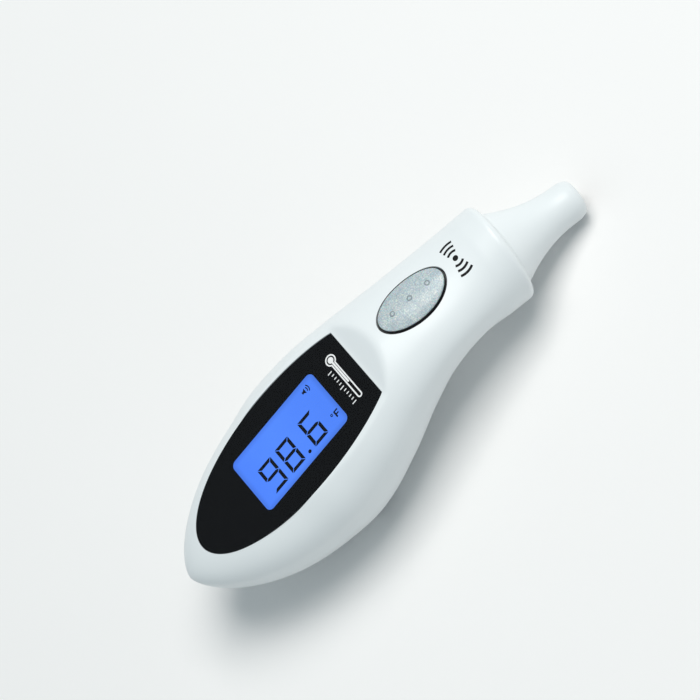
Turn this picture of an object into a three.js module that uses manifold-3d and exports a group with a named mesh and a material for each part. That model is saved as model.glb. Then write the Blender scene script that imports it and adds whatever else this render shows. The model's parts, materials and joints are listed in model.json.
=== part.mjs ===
// Digital ear thermometer: a leaf-shaped hand-held body with a lit display, one push
// button and a flared ear probe. Millimetres.
//
// Everything is drawn in the display frame: +Y runs from the base end to the probe,
// +Z out of the display, x = 0 is the mirror plane and z = 0 the display facet. The last
// lines turn that frame by the small angle at which the thermometer lies on its back.

import * as THREE from 'three';
import { mergeVertices } from 'three/addons/utils/BufferGeometryUtils.js';
import Module from 'manifold-3d';

const wasm = await Module();
wasm.setup();

// ---------------------------------------------------------------- driving dimensions

const GAP = 0.3; // clearance between neighbouring pieces
const WALL = 1.9; // shell wall

const OUTER_SIDES = 36; // facets round the outer skin
const OUTER_STEPS = 22; // and along it
const INNER_SIDES = 24;
const INNER_STEPS = 13;

// Body stations along the spine: half width, height of the spine, height in front of it
// and depth behind it.
const STATIONS = [
  { at: -2.4, half: 20, spine: -5, front: 12, back: 18.5 },
  { at: 14, half: 20.5, spine: -7.5, front: 12, back: 19 },
  { at: 28, half: 20.5, spine: -9, front: 12, back: 19 },
  { at: 40, half: 21, spine: -9, front: 12.5, back: 19.5 },
  { at: 52, half: 19.5, spine: -8, front: 12, back: 17.5 },
  { at: 64, half: 16.5, spine: -7, front: 10, back: 15.5 },
  { at: 76, half: 14, spine: -7.5, front: 8, back: 13 },
  { at: 88, half: 12.8, spine: -10, front: 7.5, back: 12 },
  { at: 98, half: 12.5, spine: -15, front: 12.5, back: 12.5 },
];
const END_STOP = 38; // the rounded base end runs up to here
const END_POWER = 1.6; // its bluntness
const FRONT_POWER = 2.0; // section squareness in front of the spine
const BACK_POWER = 2.2; // and behind it
const RIM_OUT = 1.8; // the rim's widest ring on the probe's axis
const RIM_ROUND = 1.5; // rounding of the head's rim
const END_WALL = 1.8; // the head's end wall starts here on the probe's axis

const FACET_END = 62.9; // the flat display facet stops here
const FACET_RAMP = 18; // and ramps up to the neck at this angle, degrees
const LINING_RAMP = 30; // the ramp inside is steeper, to leave room for the button

const WINDOW_CENTRE = 38.8;
const WINDOW_HALF = 13.9;
const WINDOW_DOWN = 32.4; // the window's ellipse below its widest place
const WINDOW_UP = 35.5; // and above it
const WINDOW_TOP = 62.4; // straight top edge
const WINDOW_THICK = 1.2;
const SURROUND_THICK = 0.4;

const VIEW_CENTRE = 38.4; // lit area of the display
const VIEW_WIDTH = 16.2;
const VIEW_LENGTH = 28.8;
const GLASS_THICK = 2.2;

const FACET_WALL = 3.8; // wall behind the display facet

const BOARD_TOP = -8.0;
const BOARD_THICK = 1.0;

const BUTTON_AT = 81.6;
const BUTTON_TILT = 15.6; // degrees back from the display
const BUTTON_HALF = 5.4;
const BUTTON_LENGTH = 9.3; // half length
const BUTTON_PROUD = 0.3;
const BUTTON_SURFACE = -0.6; // height of the neck at the button's centre

const NOZZLE_AT = 98;
const NOZZLE_HEIGHT = -15;
const NOZZLE_TILT = 25; // degrees back from the display
const NOZZLE_NECK = 10.0;
const FLANGE = 10.9; // the probe's flange inside the head
const SEAL = 9.0; // and the seal behind it
const NOZZLE_REACH = 24.5;
const NOZZLE_TIP = 5; // radius of the slim end
const FLARE_START = 3.2; // the flare runs from here
const FLARE_END = 20.5; // to here
const TIP_ROUND = 1.8; // the tip's rounding is an ellipse, this wide
const TIP_ROUND_LONG = 3.2; // and this long
const TIP_HOLE = 2.9;

const PARTING = 0.62; // height of the parting line, as a share of the depth behind the spine

const CELL_RADIUS = 10; // coin cell
const CELL_THICK = 3.2;
const CELL_AT = 19.6;
const CELL_TOP = -11.3;

const DOOR_HALF = 11.3;
const DOOR_START = 8.6;
const DOOR_END = 30.8;
const DOOR_CORNER = 7.5;
const TONGUE_HALF = 4.2; // the door's screw tongue
const DOOR_SCREW_AT = 32.2;
const DOOR_LEDGE = -23.6; // the tongue's screw block starts here
const DOOR_RIB = 7; // radius of the ring inside the door that holds the cell up

const SHELL_SCREWS = [
  { x: -13.2, y: 38, seat: -20.9 },
  { x: 13.2, y: 38, seat: -20.9 },
  { x: 0, y: 66.8, seat: -19.2 },
];
const BOSS_END = -12.4; // front and rear screw posts meet here
const BOSS = 2.3; // radius of the front screw posts
const SHANK = 1.0; // screw shank radius
const BOARD_SCREWS = [{ x: -7.4, y: 60.6 }, { x: 7.4, y: 60.6 }];

const SWITCH_AT = 81;
const BUZZER_AT = 50;

const REST_TILT = 1.05; // lying angle on a table, degrees
const REST_LEVEL = -27.2; // table plane in the turned frame
const MID_LENGTH = 59.87; // middle of the thermometer's length in the turned frame

// ---------------------------------------------------------------- colours and finishes

const finish = (color, roughness, metalness = 0) =>
  new THREE.MeshStandardMaterial({ color, roughness, metalness });
const WHITE = finish(0xe9edf0, 0.32);
const BLACK_GLOSS = finish(0x111116, 0.08);
const BLACK_PRINT = finish(0x0c0c0f, 0.5);
const BLUE_LIT = finish(0x4682ff, 0.2);
const GREY_SOFT = finish(0xa6adb3, 0.55);
const CLEAR_GUIDE = finish(0xe6eef8, 0.25);
const WHITE_MOULDED = finish(0xdfe2e2, 0.5);
const DARK_MOULDED = finish(0x1c1d20, 0.5);
const BOARD_GREEN = finish(0x14592f, 0.45);
const CHIP_BLACK = finish(0x17171a, 0.6);
const RUBBER_GREY = finish(0x6f7274, 0.85);
const STEEL = finish(0xb9bcc0, 0.28, 1);
const BRASS = finish(0xb8934a, 0.3, 1);
const GOLD = finish(0xd9a93f, 0.2, 1);
const LENS_DARK = finish(0x2a2c33, 0.1);
const AMBER_FILM = finish(0xb56a1c, 0.4);
const LAMP_WHITE = finish(0xf2f2e6, 0.35);

// ---------------------------------------------------------------- solids

const rad = THREE.MathUtils.degToRad;

// Welds a closed geometry and turns it outwards.
function weld(geometry) {
  const bare = geometry.clone();
  bare.deleteAttribute('normal');
  bare.deleteAttribute('uv');
  const merged = mergeVertices(bare, 1e-4);
  const position = merged.getAttribute('position');
  const index = merged.getIndex();
  const corners = [];
  for (let i = 0; i < index.count; i += 3) {
    const [a, b, c] = [index.getX(i), index.getX(i + 1), index.getX(i + 2)];
    if (a !== b && b !== c && c !== a) corners.push([a, b, c]);
  }
  const point = (i) => new THREE.Vector3().fromBufferAttribute(position, i);
  let volume = 0;
  for (const [a, b, c] of corners) volume += point(a).dot(point(b).cross(point(c)));
  const outward = volume > 0 ? corners : corners.map(([a, b, c]) => [a, c, b]);
  return new wasm.Manifold(
    new wasm.Mesh({
      numProp: 3,
      vertProperties: new Float32Array(position.array),
      triVerts: new Uint32Array(outward.flat()),
    }),
  );
}

function geometryOf(solid) {
  const mesh = solid.getMesh();
  const geometry = new THREE.BufferGeometry();
  geometry.setAttribute('position', new THREE.BufferAttribute(new Float32Array(mesh.vertProperties), 3));
  geometry.setIndex(new THREE.BufferAttribute(new Uint32Array(mesh.triVerts), 1));
  geometry.computeVertexNormals();
  return geometry;
}

const join = (...solids) => solids.reduce((a, b) => a.add(b));
const cut = (solid, ...tools) => tools.reduce((a, b) => a.subtract(b), solid);

function block(x0, x1, y0, y1, z0, z1) {
  const box = new THREE.BoxGeometry(x1 - x0, y1 - y0, z1 - z0);
  return weld(box.translate((x0 + x1) / 2, (y0 + y1) / 2, (z0 + z1) / 2));
}

// A round post along Z.
function post(x, y, radius, z0, z1, sides = 24) {
  const cylinder = new THREE.CylinderGeometry(radius, radius, z1 - z0, sides);
  return weld(cylinder.rotateX(Math.PI / 2).translate(x, y, (z0 + z1) / 2));
}

// A straight-sided prism of an outline in X and Y.
function prism(outline, z0, z1) {
  const shape = new THREE.Shape(outline);
  const extruded = new THREE.ExtrudeGeometry(shape, { depth: z1 - z0, bevelEnabled: false });
  return weld(extruded.translate(0, 0, z0));
}

// A prism along X of an outline in Y and Z.
function sideProfile(outline, halfWidth) {
  const shape = new THREE.Shape(outline.map(([y, z]) => new THREE.Vector2(y, z)));
  const extruded = new THREE.ExtrudeGeometry(shape, { depth: 2 * halfWidth, bevelEnabled: false });
  const turned = new THREE.Matrix4().makeBasis(
    new THREE.Vector3(0, 1, 0), new THREE.Vector3(0, 0, 1), new THREE.Vector3(1, 0, 0));
  return weld(extruded.applyMatrix4(turned).translate(-halfWidth, 0, 0));
}

// A turned piece on the probe's axis: pairs of radius and distance along the axis.
function turned(profile, sides = 32) {
  const points = profile.map(([radius, along]) => new THREE.Vector2(radius, along));
  const lathe = new THREE.LatheGeometry(points, sides);
  return weld(lathe.rotateX(rad(-NOZZLE_TILT)).translate(0, NOZZLE_AT, NOZZLE_HEIGHT));
}

const ring = (inner, outer, from, to, sides) =>
  turned([[inner, from], [outer, from], [outer, to], [inner, to], [inner, from]], sides);
const disc = (radius, from, to, sides) =>
  turned([[0, from], [radius, from], [radius, to], [0, to]], sides);

// ---------------------------------------------------------------- outlines

function ellipseOutline(halfX, halfY, centreY, count) {
  const points = [];
  for (let i = 0; i < count; i++) {
    const angle = (2 * Math.PI * i) / count;
    points.push(new THREE.Vector2(halfX * Math.cos(angle), centreY + halfY * Math.sin(angle)));
  }
  return points;
}

function roundedRectangle(halfX, y0, y1, corner, steps = 6) {
  const points = [];
  const centres = [[1, 1], [-1, 1], [-1, -1], [1, -1]];
  centres.forEach(([sx, sy], quarter) => {
    const cx = sx * (halfX - corner);
    const cy = sy > 0 ? y1 - corner : y0 + corner;
    for (let i = 0; i <= steps; i++) {
      const angle = (Math.PI / 2) * (quarter + i / steps);
      points.push(new THREE.Vector2(cx + corner * Math.cos(angle), cy + corner * Math.sin(angle)));
    }
  });
  return points;
}

// The window: an ellipse with a straight top edge, grown or shrunk by an offset.
function windowOutline(offset, count = 40) {
  const halfX = WINDOW_HALF + offset;
  const top = WINDOW_TOP + offset;
  const start = Math.asin((top - WINDOW_CENTRE) / (WINDOW_UP + offset));
  const sweep = Math.PI + 2 * start;
  const points = [];
  for (let i = 0; i <= count; i++) {
    const angle = start - (sweep * i) / count;
    const halfY = (Math.sin(angle) > 0 ? WINDOW_UP : WINDOW_DOWN) + offset;
    points.push(new THREE.Vector2(halfX * Math.cos(angle), WINDOW_CENTRE + halfY * Math.sin(angle)));
  }
  return points.reverse();
}

// ---------------------------------------------------------------- the body surface

// A smooth curve through one column of the stations.
function along(key, at) {
  const last = STATIONS.length - 1;
  let i = 0;
  while (i < last - 1 && at > STATIONS[i + 1].at) i++;
  const slope = (k) => {
    const low = STATIONS[Math.max(k - 1, 0)];
    const high = STATIONS[Math.min(k + 1, last)];
    return (high[key] - low[key]) / (high.at - low.at);
  };
  const [low, high] = [STATIONS[i], STATIONS[i + 1]];
  const span = high.at - low.at;
  const t = (at - low.at) / span;
  const fromLow = (2 * t ** 3 - 3 * t ** 2 + 1) * low[key] + (t ** 3 - 2 * t ** 2 + t) * span * slope(i);
  const fromHigh = (3 * t ** 2 - 2 * t ** 3) * high[key] + (t ** 3 - t ** 2) * span * slope(i + 1);
  return fromLow + fromHigh;
}

// Tilt of the section at a station: sections stand square to the spine.
const tiltAt = (at) => Math.atan((along('spine', at + 0.01) - along('spine', at - 0.01)) / 0.02);

// Share of the full section at a place on the rounded base end: reach is 1 at the very end
// and 0 where the rounding stops.
const endShape = (reach) => (1 - THREE.MathUtils.clamp(reach, 0, 1) ** 2) ** (1 / END_POWER);

// Closed section at one place on the spine, pulled in by an offset.
function section(at, inset, endShare, sides) {
  const half = (along('half', at) - inset) * endShare;
  const front = (along('front', at) - inset) * endShare;
  const back = (along('back', at) - inset) * endShare;
  const tilt = tiltAt(at);
  const points = [];
  for (let i = 0; i < sides; i++) {
    const angle = (2 * Math.PI * i) / sides;
    const [c, s] = [Math.cos(angle), Math.sin(angle)];
    const power = s > 0 ? FRONT_POWER : BACK_POWER;
    const x = half * Math.sign(c) * Math.abs(c) ** (2 / power);
    const h = (s > 0 ? front : back) * Math.sign(s) * Math.abs(s) ** (2 / power);
    points.push(new THREE.Vector3(x, at - Math.sin(tilt) * h, along('spine', at) + Math.cos(tilt) * h));
  }
  return points;
}

// Skins a row of rings between two end points.
function skin(start, rings, end) {
  const sides = rings[0].length;
  const points = [start, ...rings.flat(), end];
  const triangles = [];
  const id = (ringIndex, i) => 1 + ringIndex * sides + (i % sides);
  for (let i = 0; i < sides; i++) {
    triangles.push(0, id(0, i), id(0, i + 1));
    for (let r = 0; r < rings.length - 1; r++) {
      triangles.push(id(r, i), id(r + 1, i), id(r + 1, i + 1));
      triangles.push(id(r, i), id(r + 1, i + 1), id(r, i + 1));
    }
    triangles.push(id(rings.length - 1, i), points.length - 1, id(rings.length - 1, i + 1));
  }
  const geometry = new THREE.BufferGeometry().setFromPoints(points);
  geometry.setIndex(triangles);
  return weld(geometry);
}

const nozzleAxis = new THREE.Vector3(0, Math.cos(rad(NOZZLE_TILT)), -Math.sin(rad(NOZZLE_TILT)));
const nozzleCentre = new THREE.Vector3(0, NOZZLE_AT, NOZZLE_HEIGHT);

// Circle square to the probe's axis.
function probeCircle(radius, from, sides) {
  const up = new THREE.Vector3(0, Math.sin(rad(NOZZLE_TILT)), Math.cos(rad(NOZZLE_TILT)));
  const points = [];
  for (let i = 0; i < sides; i++) {
    const angle = (2 * Math.PI * i) / sides;
    const point = nozzleCentre.clone().addScaledVector(nozzleAxis, from);
    point.addScaledVector(up, radius * Math.sin(angle));
    points.push(point.setX(radius * Math.cos(angle)));
  }
  return points;
}

// The body pulled in by an inset. The outer skin ends in the rounded rim, the inner one
// in a flat wall behind the rim.
function body(inset, sides, steps, rounded) {
  const rings = [];
  const base = STATIONS[0].at + inset;
  for (let i = 1; i <= steps; i++) {
    const share = i / steps;
    const at = base + (STATIONS.at(-1).at - 3 - base) * share ** 1.5;
    const endShare = endShape((END_STOP - at) / (END_STOP - base));
    rings.push(section(at, inset, endShare, sides));
  }
  const rim = STATIONS.at(-1).half - inset;
  if (rounded) {
    for (const angle of [0, 30, 60, 90]) {
      const drop = RIM_ROUND * (1 - Math.cos(rad(angle)));
      rings.push(probeCircle(rim - drop, RIM_OUT + RIM_ROUND * Math.sin(rad(angle)), sides));
    }
  } else {
    rings.push(probeCircle(rim, END_WALL, sides));
  }
  const end = nozzleCentre.clone().addScaledVector(nozzleAxis, rounded ? RIM_OUT + RIM_ROUND : END_WALL);
  return skin(new THREE.Vector3(0, base, along('spine', base)), rings, end);
}

// Everything in front of the display facet and its ramp, lowered by a depth.
function facetTool(depth, angle) {
  const ramp = Math.tan(rad(angle));
  const reach = 16;
  const shift = depth * Math.tan(rad(angle) / 2);
  return sideProfile([
    [-10, -depth],
    [FACET_END + shift, -depth],
    [FACET_END + shift + reach, -depth + reach * ramp],
    [FACET_END + shift + reach, 40],
    [-10, 40],
  ], 40);
}

// Everything behind the parting line, raised or lowered by a shift.
function rearTool(shift) {
  const line = [];
  const first = STATIONS[0].at;
  for (let at = first - 6; at < NOZZLE_AT + 8; at += 6) {
    const inside = THREE.MathUtils.clamp(at, first, STATIONS.at(-1).at);
    const endShare = endShape((END_STOP - inside) / (END_STOP - first));
    const depth = PARTING * along('back', inside) * endShare;
    line.push([at, along('spine', inside) - depth + shift]);
  }
  return sideProfile([...line, [NOZZLE_AT + 8, -60], [first - 6, -60]], 40);
}

// ---------------------------------------------------------------- shells

const outer = cut(body(0, OUTER_SIDES, OUTER_STEPS, true), facetTool(0, FACET_RAMP));
const inner = cut(body(WALL, INNER_SIDES, INNER_STEPS, false), facetTool(FACET_WALL, LINING_RAMP));

// A small flat under the belly lets the thermometer lie on its back.
const table = new THREE.BoxGeometry(80, 260, 30).translate(0, 0, REST_LEVEL - 15);
const grounded = cut(outer, weld(table.rotateX(rad(-REST_TILT))));

// The button's press axis stands square to the neck.
function alongPress(geometry) {
  return weld(geometry.rotateX(rad(-BUTTON_TILT)).translate(0, BUTTON_AT, BUTTON_SURFACE));
}

function buttonPrism(offset, from, to) {
  const outline = ellipseOutline(BUTTON_HALF + offset, BUTTON_LENGTH + offset, 0, 32);
  const shape = new THREE.Shape(outline);
  const extruded = new THREE.ExtrudeGeometry(shape, { depth: to - from, bevelEnabled: false });
  return alongPress(extruded.translate(0, 0, from));
}

const surroundTop = -WINDOW_THICK - GAP;
const surroundBack = surroundTop - SURROUND_THICK;
const glassTop = surroundBack - GAP;
const windowPocket = prism(windowOutline(GAP), glassTop, 1);
const glassHalf = VIEW_WIDTH / 2 + 1.1;
const glassStart = VIEW_CENTRE - VIEW_LENGTH / 2 - 1.0;
const glassEnd = VIEW_CENTRE + VIEW_LENGTH / 2 + 2.6;
const viewHole = block(-glassHalf - GAP, glassHalf + GAP, glassStart - GAP, glassEnd + GAP, -6, 0);
const nozzleHole = join(
  disc(NOZZLE_NECK + GAP, -1, 6, 32),
  disc(FLANGE + GAP, -0.2, END_WALL, 32),
  disc(SEAL + GAP, -1.3, 0, 32));

// A rib behind the probe's flange, in both shells.
const flangeRib = ring(7.6, 13, -2.6, -1.3, 32).intersect(grounded);
const frontHalf = (solid) => cut(solid, rearTool(0.6 * GAP));
const rearHalf = (solid) => solid.intersect(rearTool(-0.6 * GAP));

const frontBosses = [
  ...SHELL_SCREWS.map(({ x, y }) => post(x, y, BOSS, BOSS_END, 6, 16)),
  ...BOARD_SCREWS.map(({ x, y }) => post(x, y, 2.1, BOARD_TOP + GAP, 6, 16)),
];
const frontPilots = [
  ...SHELL_SCREWS.map(({ x, y }) => post(x, y, SHANK + GAP, -13, -6.4, 12)),
  ...BOARD_SCREWS.map(({ x, y }) => post(x, y, 0.8 + GAP, -9, -5.2, 12)),
];
const frontSolid = join(
  frontHalf(join(cut(grounded, inner), flangeRib)),
  ...frontBosses.map((boss) => boss.intersect(grounded)));
const frontShell = cut(
  frontSolid, windowPocket, viewHole, nozzleHole, buttonPrism(GAP, -6, 6), ...frontPilots);

const doorPlate = (offset) =>
  roundedRectangle(DOOR_HALF + offset, DOOR_START - offset, DOOR_END + offset, DOOR_CORNER + offset);
const doorTongue = (offset, top) => join(
  post(0, DOOR_SCREW_AT, TONGUE_HALF + offset, -40, top, 24),
  block(-TONGUE_HALF - offset, TONGUE_HALF + offset, 26, DOOR_SCREW_AT, -40, top));

const nearInner = body(WALL + GAP, INNER_SIDES, INNER_STEPS, false);
const rearPosts = SHELL_SCREWS.map(({ x, y }) => {
  const whole = post(x, y, 2.9, -30, BOSS_END - GAP, 16);
  return join(rearHalf(whole.intersect(grounded)), whole.intersect(nearInner));
});
const screwBlock = block(-3.6, 3.6, DOOR_END + 0.5, 38.5, -30, -17.6);
const rearSolid = join(
  rearHalf(join(cut(grounded, inner), flangeRib, screwBlock.intersect(grounded))),
  ...rearPosts);
const rearShell = cut(
  rearSolid,
  prism(doorPlate(GAP), -40, -12),
  doorTongue(GAP, DOOR_LEDGE),
  post(0, DOOR_SCREW_AT, SHANK + GAP, -30, -18.4, 12),
  nozzleHole,
  ...SHELL_SCREWS.map(({ x, y }) => post(x, y, SHANK + GAP, -30, -8, 12)),
  ...SHELL_SCREWS.map(({ x, y, seat }) => post(x, y, 2.1, -40, seat, 16)));

// ---------------------------------------------------------------- battery compartment

const doorSkin = rearHalf(cut(grounded, inner));
const doorRib = cut(
  post(0, CELL_AT, DOOR_RIB, -40, CELL_TOP - CELL_THICK - GAP),
  post(0, CELL_AT, DOOR_RIB - 1.2, -40, 0)).intersect(grounded);
const batteryDoor = cut(
  join(
    doorSkin.intersect(prism(doorPlate(0), -40, -11)),
    doorSkin.intersect(doorTongue(0, -11)),
    doorRib,
    post(0, DOOR_SCREW_AT, 3.4, -26.9, DOOR_LEDGE - GAP, 20)),
  post(0, DOOR_SCREW_AT, SHANK + GAP, -30, -12, 12),
  post(0, DOOR_SCREW_AT, 2.3, -40, -25.6, 16));
const doorScrew = join(
  post(0, DOOR_SCREW_AT, 2.0, -27.1, -25.9, 16),
  post(0, DOOR_SCREW_AT, SHANK, -26.1, -19, 12));

const cellBottom = CELL_TOP - CELL_THICK;
const boardBottom = BOARD_TOP - BOARD_THICK;
const underBoard = boardBottom - GAP;
const coinCell = join(
  post(0, CELL_AT, CELL_RADIUS, cellBottom, CELL_TOP - 0.4, 40),
  post(0, CELL_AT, CELL_RADIUS - 1.2, CELL_TOP - 0.6, CELL_TOP, 40));
const batteryHolder = cut(
  post(0, CELL_AT, 11.2, cellBottom + 1.1, underBoard, 40),
  post(0, CELL_AT, CELL_RADIUS + 0.35, -20, 0, 40),
  block(-2.4, 2.4, CELL_AT, 40, -20, 0));
const bentStrip = (line, thick, halfWidth) => sideProfile(
  [...line.map(([y, z]) => [y, z - thick]), ...line.slice().reverse()], halfWidth);
const contactMinus = bentStrip([[12.6, underBoard], [16.6, underBoard], [19, -10.7], [23, -10.7]], 0.3, 2);
const contactPlus = block(-2, 2, 29.9, 30.3, cellBottom + 0.4, underBoard);

// ---------------------------------------------------------------- display and board

const viewCut = block(
  -VIEW_WIDTH / 2, VIEW_WIDTH / 2,
  VIEW_CENTRE - VIEW_LENGTH / 2, VIEW_CENTRE + VIEW_LENGTH / 2, -5, 1);
const displayWindow = prism(windowOutline(0), -WINDOW_THICK, 0);
const displaySurround = cut(prism(windowOutline(0), surroundBack, surroundTop), viewCut);
const glassBack = glassTop - GLASS_THICK;
const displayGlass = block(-glassHalf, glassHalf, glassStart, glassEnd, glassBack, glassTop);
const guideTop = glassBack - GAP;
const boardSide = BOARD_TOP + GAP;
const backlightGuide = block(-9.1, 9.1, glassStart - 0.3, 53.2, guideTop - 1.7, guideTop);
const displayHolder = cut(
  block(-10.6, 10.6, 18.9, 57.7, boardSide, -FACET_WALL - GAP),
  block(-9.5, 9.5, 20.2, 56.2, -10, 0));
const elastomerStrip = block(-8.6, 8.6, 53.6, 55.4, boardSide, guideTop);
const lamp = (x) => block(x - 1.2, x + 1.2, 20.5, 22.3, boardSide, -5.2);

const boardEdge = [[6.5, 11], [11.5, 15], [13.6, 21], [13.6, 51], [11, 58], [9.6, 66], [8.6, 85.5]];
const boardOutline = [
  ...boardEdge.map(([x, y]) => new THREE.Vector2(x, y)),
  ...boardEdge.slice().reverse().map(([x, y]) => new THREE.Vector2(-x, y)),
];
const mainBoard = cut(
  prism(boardOutline, boardBottom, BOARD_TOP),
  ...SHELL_SCREWS.map(({ x, y }) => post(x, y, BOSS + GAP, -12, 0, 16)),
  ...BOARD_SCREWS.map(({ x, y }) => post(x, y, 0.8 + GAP, -12, 0, 12)));
const controllerChip = block(-4, 4, 34, 42, underBoard - 1.2, underBoard);
const amplifierChip = block(-2.4, 2.4, 75.5, 79.5, underBoard - 1, underBoard);
const buzzer = cut(
  post(0, BUZZER_AT, 4.6, underBoard - 4.2, underBoard, 28),
  post(0, BUZZER_AT, 0.9, -20, underBoard - 1, 12));

// ---------------------------------------------------------------- button and switch

const neckSkin = body(-BUTTON_PROUD, OUTER_SIDES, OUTER_STEPS, true);
const buttonHollow = buttonPrism(-1.2, -8, -1.4);
const scanButton = join(
  cut(neckSkin.intersect(buttonPrism(0, -3.4, 4)), buttonHollow),
  cut(buttonPrism(1.0, -4.2, -3.3), buttonHollow),
  alongPress(new THREE.CylinderGeometry(1.2, 1.2, 0.8, 16).rotateX(Math.PI / 2).translate(0, 0, -1.6)));
const switchBody = cut(
  block(-3, 3, SWITCH_AT - 3, SWITCH_AT + 3, boardSide, -3.9),
  post(0, SWITCH_AT, 2.0, -7.0, 0, 20));
const switchPlunger = post(0, SWITCH_AT, 1.7, -6.2, -3.15, 20);

// ---------------------------------------------------------------- probe

// The flare is a parabola from the neck to the slim end, which closes in a rounded lip.
const flare = [];
for (let i = 0; i <= 8; i++) {
  const share = i / 8;
  const radius = NOZZLE_TIP + (NOZZLE_NECK - NOZZLE_TIP) * (1 - share) ** 2;
  flare.push([radius, FLARE_START + (FLARE_END - FLARE_START) * share]);
}
const lip = [];
for (let i = 0; i <= 4; i++) {
  const angle = rad(22.5 * i);
  const radius = NOZZLE_TIP - TIP_ROUND * (1 - Math.cos(angle));
  lip.push([radius, NOZZLE_REACH - TIP_ROUND_LONG * (1 - Math.sin(angle))]);
}
const probeNozzle = turned([
  [6.6, 0.1], [FLANGE, 0.1], [FLANGE, 1.4], [NOZZLE_NECK, 1.4], ...flare, ...lip,
  [TIP_HOLE, NOZZLE_REACH], [TIP_HOLE, 24.0], [3.9, 24.0], [3.9, 13.2], [4.5, 13.2], [4.5, 7.0],
  [6.6, 7.0], [6.6, 0.1],
], 30);
const probeSeal = ring(7.2, SEAL, -1.0, -0.2, 28);
const probeLens = disc(3.6, 23.0, 23.7, 24);
const lensRing = ring(3.0, 3.6, 21.8, 22.7, 24);
const waveGuide = ring(2.15, 2.6, 12.3, 22.5, 20);
const sensorHolder = turned([
  [2.95, 7.6], [4.15, 7.6], [4.15, 12.9], [3.55, 12.9], [3.55, 21.4], [2.95, 21.4], [2.95, 7.6],
], 24);
const sensorCan = turned([[0, 8.2], [2.6, 8.2], [2.6, 8.7], [2.3, 8.7], [2.3, 11.9], [0, 11.9]], 24);
const sensorBoard = disc(6.2, 5.9, 6.7, 24);
const sensorFlex = bentStrip(
  [[83.5, underBoard], [88.5, -9.6], [92.5, -11.3], [97, -13.9], [102.8, -16.9]], 0.25, 2.5);

// ---------------------------------------------------------------- screws

const shellScrews = SHELL_SCREWS.map(({ x, y, seat }) => join(
  post(x, y, 1.8, seat - GAP - 1.4, seat - GAP, 16),
  post(x, y, SHANK, seat - 1.2, -6.8, 12)));
const boardScrews = BOARD_SCREWS.map(({ x, y }) => join(
  post(x, y, 1.7, underBoard - 1.1, underBoard, 16),
  post(x, y, 0.8, underBoard - 0.6, -5.6, 12)));

// ---------------------------------------------------------------- scene graph

const group = new THREE.Group();
group.position.set(0, -MID_LENGTH, -REST_LEVEL);
const frame = new THREE.Group();
frame.rotation.x = rad(REST_TILT);
group.add(frame);

function piece(name, solid, material) {
  const mesh = new THREE.Mesh(geometryOf(solid), material);
  mesh.name = name;
  frame.add(mesh);
}

piece('front_shell', frontShell, WHITE);
piece('rear_shell', rearShell, WHITE);
piece('battery_door', batteryDoor, WHITE);
piece('battery_door_screw', doorScrew, STEEL);
piece('coin_cell', coinCell, STEEL);
piece('battery_holder', batteryHolder, DARK_MOULDED);
piece('contact_minus', contactMinus, GOLD);
piece('contact_plus', contactPlus, GOLD);
piece('display_window', displayWindow, BLACK_GLOSS);
piece('display_surround', displaySurround, BLACK_PRINT);
piece('display_glass', displayGlass, BLUE_LIT);
piece('backlight_guide', backlightGuide, CLEAR_GUIDE);
piece('display_holder', displayHolder, WHITE_MOULDED);
piece('elastomer_strip', elastomerStrip, RUBBER_GREY);
piece('backlight_lamp_left', lamp(-4.5), LAMP_WHITE);
piece('backlight_lamp_right', lamp(4.5), LAMP_WHITE);
piece('main_board', mainBoard, BOARD_GREEN);
piece('controller_chip', controllerChip, CHIP_BLACK);
piece('amplifier_chip', amplifierChip, CHIP_BLACK);
piece('buzzer', buzzer, DARK_MOULDED);
piece('scan_button', scanButton, GREY_SOFT);
piece('switch_body', switchBody, DARK_MOULDED);
piece('switch_plunger', switchPlunger, WHITE_MOULDED);
piece('probe_nozzle', probeNozzle, WHITE);
piece('probe_seal', probeSeal, RUBBER_GREY);
piece('probe_lens', probeLens, LENS_DARK);
piece('lens_ring', lensRing, BRASS);
piece('wave_guide', waveGuide, GOLD);
piece('sensor_holder', sensorHolder, BRASS);
piece('sensor_can', sensorCan, STEEL);
piece('sensor_board', sensorBoard, BOARD_GREEN);
piece('sensor_flex', sensorFlex, AMBER_FILM);
shellScrews.forEach((screw, i) => piece(`shell_screw_${i + 1}`, screw, STEEL));
boardScrews.forEach((screw, i) => piece(`board_screw_${i + 1}`, screw, STEEL));

export default group;
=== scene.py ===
"""Looks of the digital ear thermometer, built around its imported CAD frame.

Shapes are drawn in millimetres in the display frame (+Y from the base end to the probe, +Z out
of the display, z = 0 on the display facet), then put into the row frame in metres. The last
steps of each piece name the body it rides on and the CAD nodes it stands for.
"""

import json
import math

import bmesh
import bpy
import numpy as np
from mathutils import Matrix, Vector
from mathutils.bvhtree import BVHTree


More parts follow.
